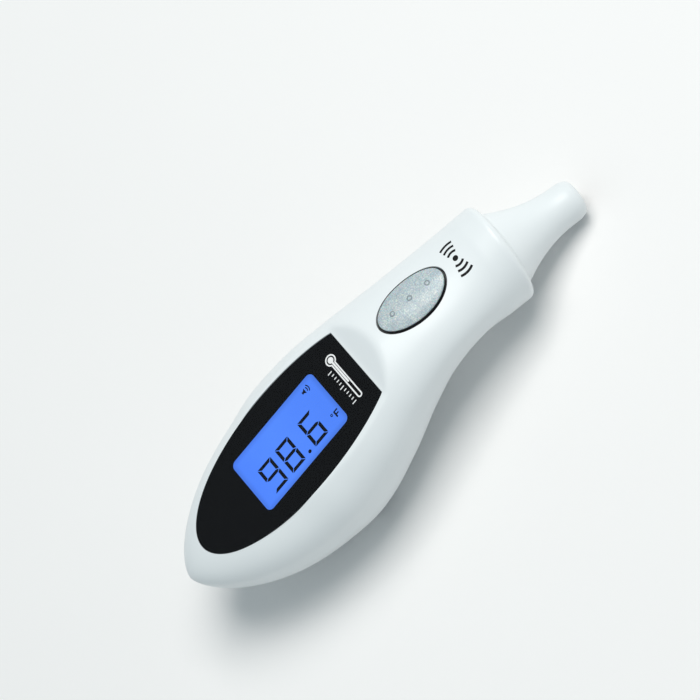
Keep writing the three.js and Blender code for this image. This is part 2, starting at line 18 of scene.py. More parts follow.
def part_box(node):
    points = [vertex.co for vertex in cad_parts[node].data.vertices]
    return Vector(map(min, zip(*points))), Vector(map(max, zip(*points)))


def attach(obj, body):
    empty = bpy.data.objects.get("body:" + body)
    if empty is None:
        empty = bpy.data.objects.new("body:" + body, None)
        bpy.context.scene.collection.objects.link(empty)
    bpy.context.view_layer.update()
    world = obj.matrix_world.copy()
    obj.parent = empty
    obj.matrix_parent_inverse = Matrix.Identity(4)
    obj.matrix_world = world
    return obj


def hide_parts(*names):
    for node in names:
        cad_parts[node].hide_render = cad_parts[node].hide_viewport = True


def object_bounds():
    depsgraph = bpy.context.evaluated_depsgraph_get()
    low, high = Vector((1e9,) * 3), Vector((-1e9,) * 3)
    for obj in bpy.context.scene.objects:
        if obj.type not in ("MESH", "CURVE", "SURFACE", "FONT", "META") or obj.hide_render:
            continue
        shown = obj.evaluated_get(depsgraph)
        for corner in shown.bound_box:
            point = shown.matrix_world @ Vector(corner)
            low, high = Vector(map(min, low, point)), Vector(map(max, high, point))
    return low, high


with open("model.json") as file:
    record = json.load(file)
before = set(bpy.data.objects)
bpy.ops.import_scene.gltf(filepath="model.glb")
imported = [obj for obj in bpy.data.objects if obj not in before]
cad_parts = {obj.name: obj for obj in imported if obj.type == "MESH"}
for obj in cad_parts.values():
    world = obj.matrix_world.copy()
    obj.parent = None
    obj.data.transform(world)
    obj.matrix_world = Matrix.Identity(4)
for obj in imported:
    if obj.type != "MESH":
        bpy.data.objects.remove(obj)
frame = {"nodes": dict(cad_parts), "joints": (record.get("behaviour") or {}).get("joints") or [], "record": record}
cad_low, cad_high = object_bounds()

# ---------------------------------------------------------------- driving dimensions (mm)

MM = 0.001
SKIN_INSET = 0.07  # the fine skins stay this far inside the faceted solids' widest places

# Body stations along the spine: place, half width, height of the spine, height in front of it
# and depth behind it.
STATIONS = np.array([
    (-2.4, 20, -5, 12, 18.5),
    (14, 20.5, -7.5, 12, 19),
    (28, 20.5, -9, 12, 19),
    (40, 21, -9, 12.5, 19.5),
    (52, 19.5, -8, 12, 17.5),
    (64, 16.5, -7, 10, 15.5),
    (76, 14, -7.5, 8, 13),
    (88, 12.8, -10, 7.5, 12),
    (98, 12.5, -15, 12.5, 12.5),
])
HALF, SPINE, FRONT, BACK = 1, 2, 3, 4
END_STOP, END_POWER = 38, 1.6  # the rounded base end
FRONT_POWER, BACK_POWER = 2.0, 2.2  # squareness of the section in front of the spine, behind it
RIM_OUT, RIM_ROUND, END_WALL = 1.8, 1.5, 1.8  # the rim's widest ring, its rounding, inner face
WALL = 1.9
FACET_END, FACET_RAMP, FACET_WALL = 62.9, math.radians(18), 3.8  # facet, ramp, wall under it
LINING_RAMP = math.radians(30)  # the ramp inside is steeper, to leave room for the button
PARTING = 0.62  # share of the depth behind the spine at which the shells meet

# Window: an ellipse that reaches further up than down, cut straight at its top.
WINDOW_CENTRE, WINDOW_HALF, WINDOW_DOWN = 38.8, 13.9, 32.4
WINDOW_UP, WINDOW_TOP, WINDOW_THICK = 35.5, 62.4, 1.2
VIEW_CENTRE, VIEW_WIDTH, VIEW_LENGTH = 38.4, 16.2, 28.8  # the lit area

# Button: place, height of the neck there, tilt, half width and half length.
BUTTON_AT, BUTTON_SURFACE, BUTTON_TILT = 81.6, -0.6, math.radians(15.6)
BUTTON_HALF, BUTTON_LENGTH = 5.4, 9.3

# Probe: its foot, the radii of neck and tip, and places along its axis.
NOZZLE_AT, NOZZLE_HEIGHT, NOZZLE_TILT = 98, -15, math.radians(25)
NOZZLE_NECK, NOZZLE_TIP, NOZZLE_REACH = 10, 5, 24.5
FLARE_START, FLARE_END = 3.2, 20.5
TIP_ROUND, TIP_ROUND_LONG, TIP_HOLE = 1.8, 3.2, 2.9

# Coin cell, the battery door with its screw tongue, and the screws in the belly.
CELL_AT, CELL_RADIUS, CELL_TOP, CELL_THICK = 19.6, 10, -11.3, 3.2
DOOR_HALF, DOOR_START, DOOR_END, DOOR_CORNER = 11.3, 8.6, 30.8, 7.5
TONGUE_HALF, DOOR_SCREW_AT, DOOR_LEDGE, DOOR_RIB = 4.2, 32.2, -23.6, 7
SHELL_SCREWS = [(-13.2, 38, -20.9), (13.2, 38, -20.9), (0, 66.8, -19.2)]  # x, y, seat
SCREW_POST, SCREW_WELL, SCREW_FOOT = 2.9, 2.1, -12.7  # round a shell screw
BOSS_RADIUS, BOSS_WELL, BOSS_SEAT = 3.7, 2.3, -25.6  # round the door's screw
LEDGE_START, LEDGE_END, LEDGE_TOP, LEDGE_BORE = 28.0, 38.3, -17.6, 1.15
UNDER_SKIN = -1.0  # added posts start this deep under the outer skin
WELL_EDGE = 0.15  # rounding of the wells' mouths

# ---------------------------------------------------------------- display frame to row frame

# The switch and the door slide straight into the display facet, so their axis gives its lean,
# and the window's box gives its place.
slide = next(j for j in frame["joints"] if j["name"] == "cover_off")["axis"]
LEAN = math.atan2(slide[1], -slide[2])
window_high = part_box("display_window")[1]
level = window_high.z / MM - WINDOW_TOP * math.sin(LEAN)
middle = WINDOW_TOP * math.cos(LEAN) + WINDOW_THICK * math.sin(LEAN) - window_high.y / MM
TO_ROW = (
    Matrix.Scale(MM, 4)
    @ Matrix.Translation((0, -middle, level))
    @ Matrix.Rotation(LEAN, 4, "X")
)


def row_point(x, y, z):
    return TO_ROW @ Vector((x, y, z))


# ---------------------------------------------------------------- body surface


def smooth_min(a, b, blend):
    h = np.clip(0.5 + 0.5 * (b - a) / blend, 0, 1)
    return b * (1 - h) + a * h - blend * h * (1 - h)


def smooth_max(a, b, blend):
    return -smooth_min(-a, -b, blend)


def along(column, at):
    """Smooth curve through one column of the stations."""
    places, values = STATIONS[:, 0], STATIONS[:, column]
    slopes = np.gradient(values)
    slopes[1:-1] = (values[2:] - values[:-2]) / (places[2:] - places[:-2])
    slopes[0] = (values[1] - values[0]) / (places[1] - places[0])
    slopes[-1] = (values[-1] - values[-2]) / (places[-1] - places[-2])
    i = np.clip(np.searchsorted(places, at, side="right") - 1, 0, len(places) - 2)
    span = places[i + 1] - places[i]
    t = (at - places[i]) / span
    low = (2 * t**3 - 3 * t**2 + 1) * values[i] + (t**3 - 2 * t**2 + t) * span * slopes[i]
    high = (3 * t**2 - 2 * t**3) * values[i + 1] + (t**3 - t**2) * span * slopes[i + 1]
    return low + high


def end_share(reach):
    return (1 - np.clip(reach, 0, 1) ** 2) ** (1 / END_POWER)


def section(at, angles, inset):
    """Points of the body's section at one place on the spine."""
    base = STATIONS[0, 0] + inset
    share = end_share((END_STOP - at) / (END_STOP - base))
    tilt = math.atan((along(SPINE, at + 0.01) - along(SPINE, at - 0.01)) / 0.02)
    c, s = np.cos(angles), np.sin(angles)
    power = np.where(s > 0, FRONT_POWER, BACK_POWER)
    reach = np.where(s > 0, along(FRONT, at), along(BACK, at))
    x = (along(HALF, at) - inset) * share * np.sign(c) * np.abs(c) ** (2 / power)
    h = (reach - inset) * share * np.sign(s) * np.abs(s) ** (2 / power)
    return np.stack([x, at - math.sin(tilt) * h, along(SPINE, at) + math.cos(tilt) * h], -1)


def probe_circle(radius, reach, angles):
    """Circle square to the probe's axis."""
    up = np.array([0, math.sin(NOZZLE_TILT), math.cos(NOZZLE_TILT)])
    out = np.array([0, math.cos(NOZZLE_TILT), -math.sin(NOZZLE_TILT)])
    centre = np.array([0, NOZZLE_AT, NOZZLE_HEIGHT]) + out * reach
    ring = centre + np.outer(radius * np.sin(angles), up)
    ring[:, 0] = radius * np.cos(angles)
    return ring


def parting_height(y):
    """Height of the line where the two shells meet."""
    inside = np.clip(y, STATIONS[0, 0], STATIONS[-1, 0])
    share = end_share((END_STOP - inside) / (END_STOP - STATIONS[0, 0]))
    return along(SPINE, inside) - PARTING * along(BACK, inside) * share


def clip_facets(points, depth=0.0):
    """Lowers the points to the display facet and its ramp, and lifts them to the belly flat."""
    y = points[:, 1]
    ramp = (y - FACET_END) * math.tan(FACET_RAMP)
    facet = smooth_max(np.zeros_like(y), ramp, 0.25) - depth
    soft = np.interp(y, [60, 66], [0.35, 0.5])
    table = (-level - y * math.sin(LEAN)) / math.cos(LEAN) + depth
    z = smooth_min(points[:, 2], facet, soft)
    points[:, 2] = smooth_max(z, table + 0.02, 0.3)
    return points


BODY_RINGS, MIX_RINGS, RIM_RINGS = 200, 8, 9
BLEND_AT = STATIONS[-1, 0] - 3  # from here the body runs straight to the round rim
HOLE_GAP, HOLE_LIP = 0.1, 0.18  # round the probe


def ring_list():
    """(outer ring, inner ring) pairs from the base end to the probe's hole, each a function of
    the angles round it."""
    pairs = []
    base = STATIONS[0, 0]
    rim = STATIONS[-1, HALF]

    def inner_circle(radius):
        return lambda a: probe_circle(radius, END_WALL, a)

    for i in range(BODY_RINGS + 1):
        share = (i / BODY_RINGS) ** 1.5
        outer_at = base + SKIN_INSET + (BLEND_AT - base - SKIN_INSET) * share
        inner_at = base + WALL + (BLEND_AT - base - WALL) * share
        pairs.append((
            lambda a, at=outer_at: section(at, a, SKIN_INSET),
            lambda a, at=inner_at: section(at, a, WALL),
        ))
    for i in range(1, MIX_RINGS):
        t = i / MIX_RINGS
        pairs.append((
            lambda a, t=t: (1 - t) * section(BLEND_AT, a, SKIN_INSET)
            + t * probe_circle(rim - SKIN_INSET, RIM_OUT, a),
            lambda a, t=t: (1 - t) * section(BLEND_AT, a, WALL)
            + t * probe_circle(rim - WALL, END_WALL, a),
        ))
    for i in range(RIM_RINGS + 1):
        a0 = math.pi / 2 * i / RIM_RINGS
        radius = rim - SKIN_INSET - RIM_ROUND * (1 - math.cos(a0))
        reach = RIM_OUT + RIM_ROUND * math.sin(a0)
        pairs.append((
            lambda a, r=radius, w=reach: probe_circle(r, w, a),
            inner_circle(rim - WALL),
        ))
    hole = NOZZLE_NECK + HOLE_GAP
    wall_top = RIM_OUT + RIM_ROUND
    for i in range(5):
        a0 = math.pi / 2 * i / 4
        radius = hole + HOLE_LIP * (1 - math.sin(a0))
        reach = wall_top - HOLE_LIP * (1 - math.cos(a0))
        pairs.append((
            lambda a, r=radius, w=reach: probe_circle(r, w, a),
            inner_circle(hole + 0.05),
        ))
    pairs.append((
        lambda a: probe_circle(hole, END_WALL + 0.4, a),
        inner_circle(hole),
    ))
    return pairs


def seam_angle(ring):
    """Angle below the right side at which a ring crosses the parting line."""
    angles = np.radians(np.linspace(-88, -4, 421))
    points = ring(angles)
    above = points[:, 2] - parting_height(points[:, 1])
    crossing = np.nonzero((above[:-1] < 0) & (above[1:] >= 0))[0]
    if not len(crossing):
        return None
    i = crossing[-1]
    t = -above[i] / (above[i + 1] - above[i])
    return angles[i] + t * (angles[i + 1] - angles[i])


RINGS = ring_list()
found = [seam_angle(outer) for outer, _ in RINGS]
known = [i for i, a in enumerate(found) if a is not None]
SEAMS = np.interp(range(len(found)), known, [found[i] for i in known])
RIM_START = BODY_RINGS + MIX_RINGS  # from this ring on the seam runs straight to the probe
SEAMS[RIM_START:] = SEAMS[RIM_START]

# ---------------------------------------------------------------- mesh helpers


def clean(bm, distance=2e-4):
    bmesh.ops.remove_doubles(bm, verts=bm.verts, dist=distance)
    bmesh.ops.dissolve_degenerate(bm, edges=bm.edges, dist=distance / 2)
    bmesh.ops.recalc_face_normals(bm, faces=bm.faces)


def mesh_of(points, faces):
    """A mesh in millimetres from points and faces, welded and turned outwards."""
    mesh = bpy.data.meshes.new("shape")
    mesh.from_pydata([tuple(p) for p in points], [], [tuple(f) for f in faces])
    bm = bmesh.new()
    bm.from_mesh(mesh)
    clean(bm)
    bm.to_mesh(mesh)
    bm.free()
    return mesh


def grid_faces(rows, count):
    """Faces between neighbouring rows of points, each row closed on itself."""
    return [
        (r * count + i, r * count + (i + 1) % count,
         (r + 1) * count + (i + 1) % count, (r + 1) * count + i)
        for r in range(rows - 1) for i in range(count)
    ]


def loft(rings, caps=True):
    """Closed solid through rings of equal length. Without caps the last ring is the first."""
    count = len(rings[0])
    points = [p for ring in rings for p in ring]
    faces = grid_faces(len(rings), count)
    if caps:
        faces.append(range(count))
        faces.append(range((len(rings) - 1) * count, len(rings) * count))
    return mesh_of(points, faces)


def flat_loft(outline, steps):
    """Solid of an outline through pairs of offset and height."""
    return loft([[(x, y, z) for x, y in outline(offset)] for offset, z in steps])


def lathe(profile, place, sides=96):
    """Closed turned solid: pairs of radius and height in the frame that place gives. The profile
    closes on itself or starts and ends on the axis."""
    points = []
    for radius, height in profile:
        for i in range(sides):
            a = 2 * math.pi * i / sides
            points.append(place @ Vector((radius * math.cos(a), radius * math.sin(a), height)))
    return mesh_of(points, grid_faces(len(profile), sides))


def joined(meshes):
    """Several separate solids in one mesh."""
    bm = bmesh.new()
    for mesh in meshes:
        bm.from_mesh(mesh)
    whole = bpy.data.meshes.new("shape")
    bm.to_mesh(whole)
    bm.free()
    return whole


def boolean(mesh, tool, operation="DIFFERENCE"):
    """Cuts, joins or intersects two closed meshes and returns the result. The exact solver is
    tried when the fast one gives an empty or unchanged mesh."""
    body = bpy.data.objects.new("boolean_body", mesh)
    other = bpy.data.objects.new("boolean_tool", tool)
    for o in (body, other):
        bpy.context.scene.collection.objects.link(o)
    modifier = body.modifiers.new("boolean", "BOOLEAN")
    modifier.operation = operation
    modifier.object = other
    for solver in ("MANIFOLD", "EXACT"):
        modifier.solver = solver
        graph = bpy.context.evaluated_depsgraph_get()
        result = bpy.data.meshes.new_from_object(body.evaluated_get(graph))
        if len(result.polygons) and len(result.polygons) != len(mesh.polygons):
            break
        print(f"boolean: the {solver} solver changed nothing")
    for o in (body, other):
        bpy.data.objects.remove(o)
    return result


def piece(name, mesh, body, look, stands_for=(), sharp=32):
    """Puts a finished mesh (mm, display frame) into the scene as one piece."""
    mesh.transform(TO_ROW)
    mesh.name = name
    mesh.materials.clear()
    mesh.materials.append(look)
    mesh.polygons.foreach_set("use_smooth", [True] * len(mesh.polygons))
    mesh.set_sharp_from_angle(angle=math.radians(sharp))
    obj = bpy.data.objects.new(name, mesh)
    bpy.context.scene.collection.objects.link(obj)
    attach(obj, body)
    if stands_for:
        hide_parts(*stands_for)
    return obj


# ---------------------------------------------------------------- shells

LIP = 0.16  # rounding of the shells' meeting edges
SEAM_GAP = 0.05  # and half the gap between them
COLUMNS = 190


def shell(front):
    """One half of the body as a closed wall with rounded meeting edges."""
    loops = []
    half_gap = SEAM_GAP + LIP
    for i, (outer, inner) in enumerate(RINGS):
        seam = SEAMS[i]
        if i <= RIM_START:
            spread = outer(np.array([seam - 0.01, seam + 0.01]))
            pace = np.linalg.norm(spread[1] - spread[0]) / 0.02
            margin = min(half_gap / max(pace, 1e-6), 0.12)
            lip = margin * pace * LIP / half_gap
        if front:
            angles = np.linspace(seam + margin, math.pi - seam - margin, COLUMNS)
        else:
            angles = np.linspace(math.pi - seam + margin, 2 * math.pi + seam - margin, COLUMNS)
        skin = clip_facets(outer(angles))
        lining = clip_facets(inner(angles), WALL + (0.3 if front else 0))
        if front:
            ramp = (lining[:, 1] - FACET_END - 1) * math.tan(LINING_RAMP)
            lining[:, 2] = np.minimum(lining[:, 2], -FACET_WALL + np.maximum(0, ramp))
        loop = list(skin)
        for end, before in ((-1, -3), (0, 2)):
            along_edge = skin[end] - skin[before]
            along_edge /= max(np.linalg.norm(along_edge), 1e-9)
            inward = lining[end] - skin[end]
            inward -= along_edge * (inward @ along_edge)
            inward /= max(np.linalg.norm(inward), 1e-9)
            turn = []
            for degrees in (30, 60, 90):
                a = math.radians(degrees)
                turn.append(skin[end] + lip * (
                    math.sin(a) * along_edge + (1 - math.cos(a)) * inward))
            if end == -1:
                loop += turn
                loop += list(lining[::-1])
            else:
                loop += turn[::-1]
        loops.append(loop)
    loops = np.array(loops)
    rows, count = loops.shape[:2]
    # At the very end of the base all the corners fall on the line between the two poles.
    pole, root = loops[0, 0].copy(), loops[0, COLUMNS + 3].copy()
    loops[0, :COLUMNS] = pole
    loops[0, COLUMNS + 3:2 * COLUMNS + 3] = root
    for k in range(3):
        loops[0, COLUMNS + k] = pole + (root - pole) * 0.02 * (k + 1)
        loops[0, count - 1 - k] = pole + (root - pole) * 0.02 * (k + 1)
    faces = grid_faces(rows, count)
    last = (rows - 1) * count

    def mirror(j):
        """The lining's column behind a skin column."""
        return last + 2 * COLUMNS + 2 - j

    for j in range(COLUMNS - 1):
        faces.append((last + j, last + j + 1, mirror(j + 1), mirror(j)))
    faces.append([last + COLUMNS - 1 + k for k in range(4)] + [mirror(COLUMNS - 1)])
    faces.append([last] + [last + count - 1 - k for k in range(3)] + [mirror(0)])
    return mesh_of(loops.reshape(-1, 3), faces)


def outer_tree():
    """Search tree of the whole outer skin."""
    angles = np.linspace(0, 2 * math.pi, 361)[:-1]
    rings = [clip_facets(outer(angles)) for outer, _ in RINGS[1:]]
    points = [Vector(p) for p in np.concatenate(rings)]
    return BVHTree.FromPolygons(points, grid_faces(len(rings), len(angles)))


SKIN = outer_tree()
REAR_PLACE = Matrix.Rotation(math.pi, 4, "Y")  # x and z turned over: z points out of the belly
BUTTON_PLACE = Matrix.Translation((0, BUTTON_AT, BUTTON_SURFACE)) @ Matrix.Rotation(
    -BUTTON_TILT, 4, "X")
NOZZLE_PLACE = Matrix.Translation((0, NOZZLE_AT, NOZZLE_HEIGHT)) @ Matrix.Rotation(
    -math.pi / 2 - NOZZLE_TILT, 4, "X")


def height_over(place, x, y):
    """Height of the outer skin over a point, in the frame that place gives."""
    start = place @ Vector((x, y, 45))
    direction = (place.to_3x3() @ Vector((0, 0, -1))).normalized()
    hit = SKIN.ray_cast(start, direction)[0]
    if hit is None:
        raise RuntimeError(f"no skin over {x:.1f}, {y:.1f}")
    return (place.inverted() @ hit).z


def draped(outline, place, lift=0.0):
    return [place @ Vector((x, y, height_over(place, x, y) + lift)) for x, y in outline]


def flared_tool(outline, place, offset, flare, floor, outward=True):
    """Closed cutter square to a frame, whose mouth opens (or closes) in a rounded edge where it
    meets the skin. outline gives the points for an offset."""
    side = 1 if outward else -1
    rings = []
    for degrees in (12, 12, 35, 60, 90):
        a = math.radians(degrees)
        points = outline(offset + side * flare * (1 - math.sin(a)))
        lift = 3.0 if not rings else -flare * (1 - math.cos(a))
        rings.append(draped(points, place, lift))
    rings.append([place @ Vector((x, y, floor)) for x, y in outline(offset)])
    return loft(rings)


# ---------------------------------------------------------------- outlines


# Each of these gives a function from an offset outwards to the outline's points.


def ellipse(half_x, half_y, x=0.0, y=0.0, count=96):
    def outline(offset):
        return [
            (x + (half_x + offset) * math.cos(a), y + (half_y + offset) * math.sin(a))
            for a in np.linspace(0, 2 * math.pi, count, endpoint=False)
        ]
    return outline


def circle(x, y, radius, count=40):
    return ellipse(radius, radius, x, y, count)


def window_outline(offset, count=150):
    """An ellipse with a straight top edge and slightly rounded top corners."""
    half_x, top = WINDOW_HALF + offset, WINDOW_TOP + offset
    start = math.asin((top - WINDOW_CENTRE) / (WINDOW_UP + offset))
    points = []
    for i in range(count + 1):
        a = start - (math.pi + 2 * start) * i / count
        half_y = (WINDOW_UP if math.sin(a) > 0 else WINDOW_DOWN) + offset
        points.append((half_x * math.cos(a), WINDOW_CENTRE + half_y * math.sin(a)))
    corner = 0.2
    left = points[-1]
    points = [p for p in points if p[1] < top - corner]
    arc = []
    for i in range(7):
        t = math.pi / 2 * i / 6
        arc.append((left[0] + corner * 0.92 * (1 - math.cos(t)), top - corner * (1 - math.sin(t))))
    arc = arc[1:]
    points += arc + [(-x, y) for x, y in reversed(arc)]
    return points[::-1]


def rounded_rectangle(half_x, y0, y1, corner, steps=8):
    def outline(offset):
        points = []
        round_by = corner + offset
        for quarter, (sx, sy) in enumerate(((1, 1), (-1, 1), (-1, -1), (1, -1))):
            cx = sx * (half_x - corner)
            cy = y1 - corner if sy > 0 else y0 + corner
            for i in range(steps + 1):
                a = math.pi / 2 * (quarter + i / steps)
                points.append((cx + round_by * math.cos(a), cy + round_by * math.sin(a)))
        return points
    return outline


def door_outline(offset, count=160):
    """The battery door with its screw tongue, seen from behind, as a level line of the distance
    to both shapes, which fillets the corners between them."""
    centre = np.array([0, 20.0])
    angles = np.linspace(0, 2 * math.pi, count, endpoint=False)
    rays = np.stack([np.cos(angles), np.sin(angles)], -1)

    def distance(points):
        middle_y = (DOOR_START + DOOR_END) / 2
        reach_y = (DOOR_END - DOOR_START) / 2 - DOOR_CORNER
        dx = np.abs(points[:, 0]) - (DOOR_HALF - DOOR_CORNER)
        dy = np.abs(points[:, 1] - middle_y) - reach_y
        plate = np.hypot(np.maximum(dx, 0), np.maximum(dy, 0))
        plate += np.minimum(np.maximum(dx, dy), 0) - DOOR_CORNER
        ty = points[:, 1] - np.clip(points[:, 1], 24, DOOR_SCREW_AT)
        tongue = np.hypot(points[:, 0], ty) - TONGUE_HALF
        return smooth_min(plate, tongue, 1.2)

    low, high = np.full(count, 2.0), np.full(count, 22.0)
    for _ in range(40):
        middle_reach = (low + high) / 2
        inside = distance(centre + rays * middle_reach[:, None]) < offset
        low = np.where(inside, middle_reach, low)
        high = np.where(inside, high, middle_reach)
    return [tuple(p) for p in centre + rays * low[:, None]]


def behind(outline):
    """The same outline seen from the other side."""
    return lambda offset: [(-x, y) for x, y in outline(offset)]


# ---------------------------------------------------------------- materials


class Nodes:
    """A short way to write a node material."""

    def __init__(self, name):
        self.material = bpy.data.materials.new(name)
        self.material.use_nodes = True
        self.tree = self.material.node_tree
        self.shader = self.tree.nodes["Principled BSDF"]
        self.place = self.add("ShaderNodeTexCoord").outputs["Object"]

    def add(self, kind, **values):
        node = self.tree.nodes.new(kind)
        for key, value in values.items():
            setattr(node, key, value)
        return node

    def link(self, output, target):
        self.tree.links.new(output, target)

    def set(self, **values):
        for key, value in values.items():
            self.shader.inputs[key.replace("_", " ")].default_value = value

    def noise(self, scale, detail=3.0, roughness=0.5):
        node = self.add("ShaderNodeTexNoise")
        node.inputs["Scale"].default_value = scale
        node.inputs["Detail"].default_value = detail
        node.inputs["Roughness"].default_value = roughness
        self.link(self.place, node.inputs["Vector"])
        return node.outputs["Fac"]

    def ramp(self, factor, stops):
        node = self.add("ShaderNodeValToRGB")
        while len(node.color_ramp.elements) < len(stops):
            node.color_ramp.elements.new(0.5)
        for element, (at, colour) in zip(node.color_ramp.elements, stops):
            element.position = at
            element.color = colour if len(colour) == 4 else (*colour, 1)
        self.link(factor, node.inputs["Fac"])
        return node.outputs["Color"]

    def spread(self, factor, low, high, start=0.0, stop=1.0, kind="LINEAR"):
        """Goes from low to high as the factor goes from start to stop."""
        node = self.add("ShaderNodeMapRange", interpolation_type=kind)
        node.inputs["From Min"].default_value = start
        node.inputs["From Max"].default_value = stop
        node.inputs["To Min"].default_value = low
        node.inputs["To Max"].default_value = high
        self.link(factor, node.inputs["Value"])
        return node.outputs["Result"]

    def math(self, operation, *values):
        """A math node. Each value is a number or a socket."""
        node = self.add("ShaderNodeMath", operation=operation)
        for target, value in zip(node.inputs, values):
            if isinstance(value, (int, float)):
                target.default_value = value
            else:
                self.link(value, target)
        return node.outputs["Value"]

    def axes(self, vector):
        node = self.add("ShaderNodeSeparateXYZ")
        self.link(vector, node.inputs["Vector"])
        return node.outputs

    def bump(self, height, strength, distance):
        node = self.add("ShaderNodeBump")
        node.inputs["Strength"].default_value = strength
        node.inputs["Distance"].default_value = distance
        self.link(height, node.inputs["Height"])
        self.link(node.outputs["Normal"], self.shader.inputs["Normal"])
        return node


def plastic(name, colour, roughness, grain=6000, depth=0.000012, tone=0.03, gloss=0.5):
    """Moulded plastic: fine grain in the surface, small changes of tone and of shine."""
    n = Nodes(name)
    dark = tuple(c * (1 - tone) for c in colour)
    n.link(n.ramp(n.noise(45, 4), [(0.35, dark), (0.65, colour)]), n.shader.inputs["Base Color"])
    n.link(n.spread(n.noise(900, 3), roughness * 0.85, roughness * 1.15),
           n.shader.inputs["Roughness"])
    n.bump(n.noise(grain, 2), 0.25, depth)
    n.set(Specular_IOR_Level=gloss)
    return n.material


def metal(name, colour, roughness, grain=2500, depth=0.00002):
    """Plated or turned metal with fine brushing and slight staining."""
    n = Nodes(name)
    dark = tuple(c * 0.82 for c in colour)
    n.link(n.ramp(n.noise(300, 5), [(0.3, dark), (0.7, colour)]), n.shader.inputs["Base Color"])
    n.link(n.spread(n.noise(grain, 4), roughness * 0.6, roughness * 1.5),
           n.shader.inputs["Roughness"])
    n.bump(n.noise(grain, 3), 0.2, depth)
    n.set(Metallic=1.0)
    return n.material


def shell_look():
    n = Nodes("shell_white")
    white, shade = (0.815, 0.847, 0.856), (0.795, 0.829, 0.840)
    n.link(n.ramp(n.noise(30, 4), [(0.35, shade), (0.65, white)]), n.shader.inputs["Base Color"])
    n.link(n.spread(n.noise(700, 3), 0.33, 0.43), n.shader.inputs["Roughness"])
    n.bump(n.noise(5200, 2), 0.2, 0.00001)
    n.set(Specular_IOR_Level=0.45)
    n.set(Coat_Weight=0.1, Coat_Roughness=0.18)
    return n.material


def button_look():
    """Frosted soft grey with pale specks that lie at different depths."""
    n = Nodes("button_grey")
    specks = n.ramp(n.noise(3000, 5, 0.8), [
        (0.36, (0.34, 0.41, 0.45)), (0.50, (0.47, 0.54, 0.56)), (0.66, (0.80, 0.83, 0.74))])
    clouds = n.ramp(n.noise(420, 3), [(0.35, (0.84, 0.87, 0.92)), (0.65, (1, 1, 1))])
    mixed = n.add("ShaderNodeMix", data_type="RGBA", blend_type="MULTIPLY")
    mixed.inputs["Factor"].default_value = 1
    n.link(specks, mixed.inputs["A"])
    n.link(clouds, mixed.inputs["B"])
    n.link(mixed.outputs["Result"], n.shader.inputs["Base Color"])
    n.link(n.spread(n.noise(1800, 4), 0.32, 0.55), n.shader.inputs["Roughness"])
    n.bump(n.noise(3000, 3), 0.3, 0.00004)
    n.set(Subsurface_Weight=0.25, Subsurface_Scale=0.0006)
    n.set(Coat_Weight=0.25, Coat_Roughness=0.25)
    return n.material


def cover_look():
    """Clear cover: polished, with the faintest dust and wipe marks in its shine."""
    n = Nodes("window_clear")
    n.set(Alpha=0.2, IOR=1.5, Base_Color=(0.004, 0.004, 0.005, 1))
    n.link(n.spread(n.noise(60, 5, 0.7), 0.03, 0.09), n.shader.inputs["Roughness"])
    return n.material


def print_look():
    n = Nodes("surround_black")
    n.link(n.ramp(n.noise(800, 3), [
        (0.3, (0.0040, 0.0042, 0.0052)), (0.7, (0.0048, 0.0050, 0.0062))]),
        n.shader.inputs["Base Color"])
    n.link(n.spread(n.noise(1500, 2), 0.47, 0.53), n.shader.inputs["Roughness"])
    n.set(Specular_IOR_Level=0.1)
    return n.material


LIT_MIDDLE, SHADED_BORDER_GLOW, PAINTED_SHADE_WIDTH = 1.5, 1.18, 1.6  # glow in the middle, glow at the border where painted shade of the bezel dims it, and how wide that painted shade runs


def display_look():
    """Lit liquid crystal display: blue, a little uneven along its length, and dimmed along its border by painted
    shade of the bezel. Only the upper face within the viewed area shines."""
    n = Nodes("display_blue")
    at = n.axes(n.place)
    low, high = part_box("display_glass")
    mottle = n.math("MULTIPLY_ADD", n.noise(220, 2), 0.35, n.spread(at["Y"], 0, 1, low.y, high.y))
    facing = n.axes(n.add("ShaderNodeTexCoord").outputs["Normal"])
    shining = n.math("GREATER_THAN", facing["Z"], 0.5)
    centre_y = row_point(0, VIEW_CENTRE, 0).y
    shaded_glow_levels = []
    # Painted shade of the bezel: the glow dims towards the border of the lit area.
    for axis, middle_at, half in (("X", 0, VIEW_WIDTH / 2), ("Y", centre_y, VIEW_LENGTH / 2)):
        away = n.math("ABSOLUTE", n.math("SUBTRACT", at[axis], middle_at))
        shaded_glow_levels.append(n.spread(
            away, LIT_MIDDLE, SHADED_BORDER_GLOW, (half - PAINTED_SHADE_WIDTH) * MM, half * MM, "SMOOTHSTEP"))
        shining = n.math("MULTIPLY", shining, n.math("LESS_THAN", away, (half + 0.3) * MM))
    strength = n.math("MULTIPLY", n.math("MINIMUM", *shaded_glow_levels), shining)
    n.link(strength, n.shader.inputs["Emission Strength"])
    blue = n.ramp(mottle, [
        (0.0, (0.062, 0.205, 0.95)), (0.55, (0.080, 0.245, 1.0)), (1.0, (0.070, 0.220, 0.93))])
    n.link(blue, n.shader.inputs["Emission Color"])
    n.set(Base_Color=(0.02, 0.05, 0.16, 1), Roughness=0.35)
    return n.material


def ink_look(name, colour, roughness=0.5):
    n = Nodes(name)
    pale = tuple(min(1, c * 1.15 + 0.003) for c in colour)
    n.link(n.ramp(n.noise(2500, 3), [(0.3, colour), (0.8, pale)]), n.shader.inputs["Base Color"])
    n.link(n.spread(n.noise(2000, 2), roughness * 0.9, roughness * 1.1),
           n.shader.inputs["Roughness"])
    n.set(Specular_IOR_Level=0.2)
    return n.material


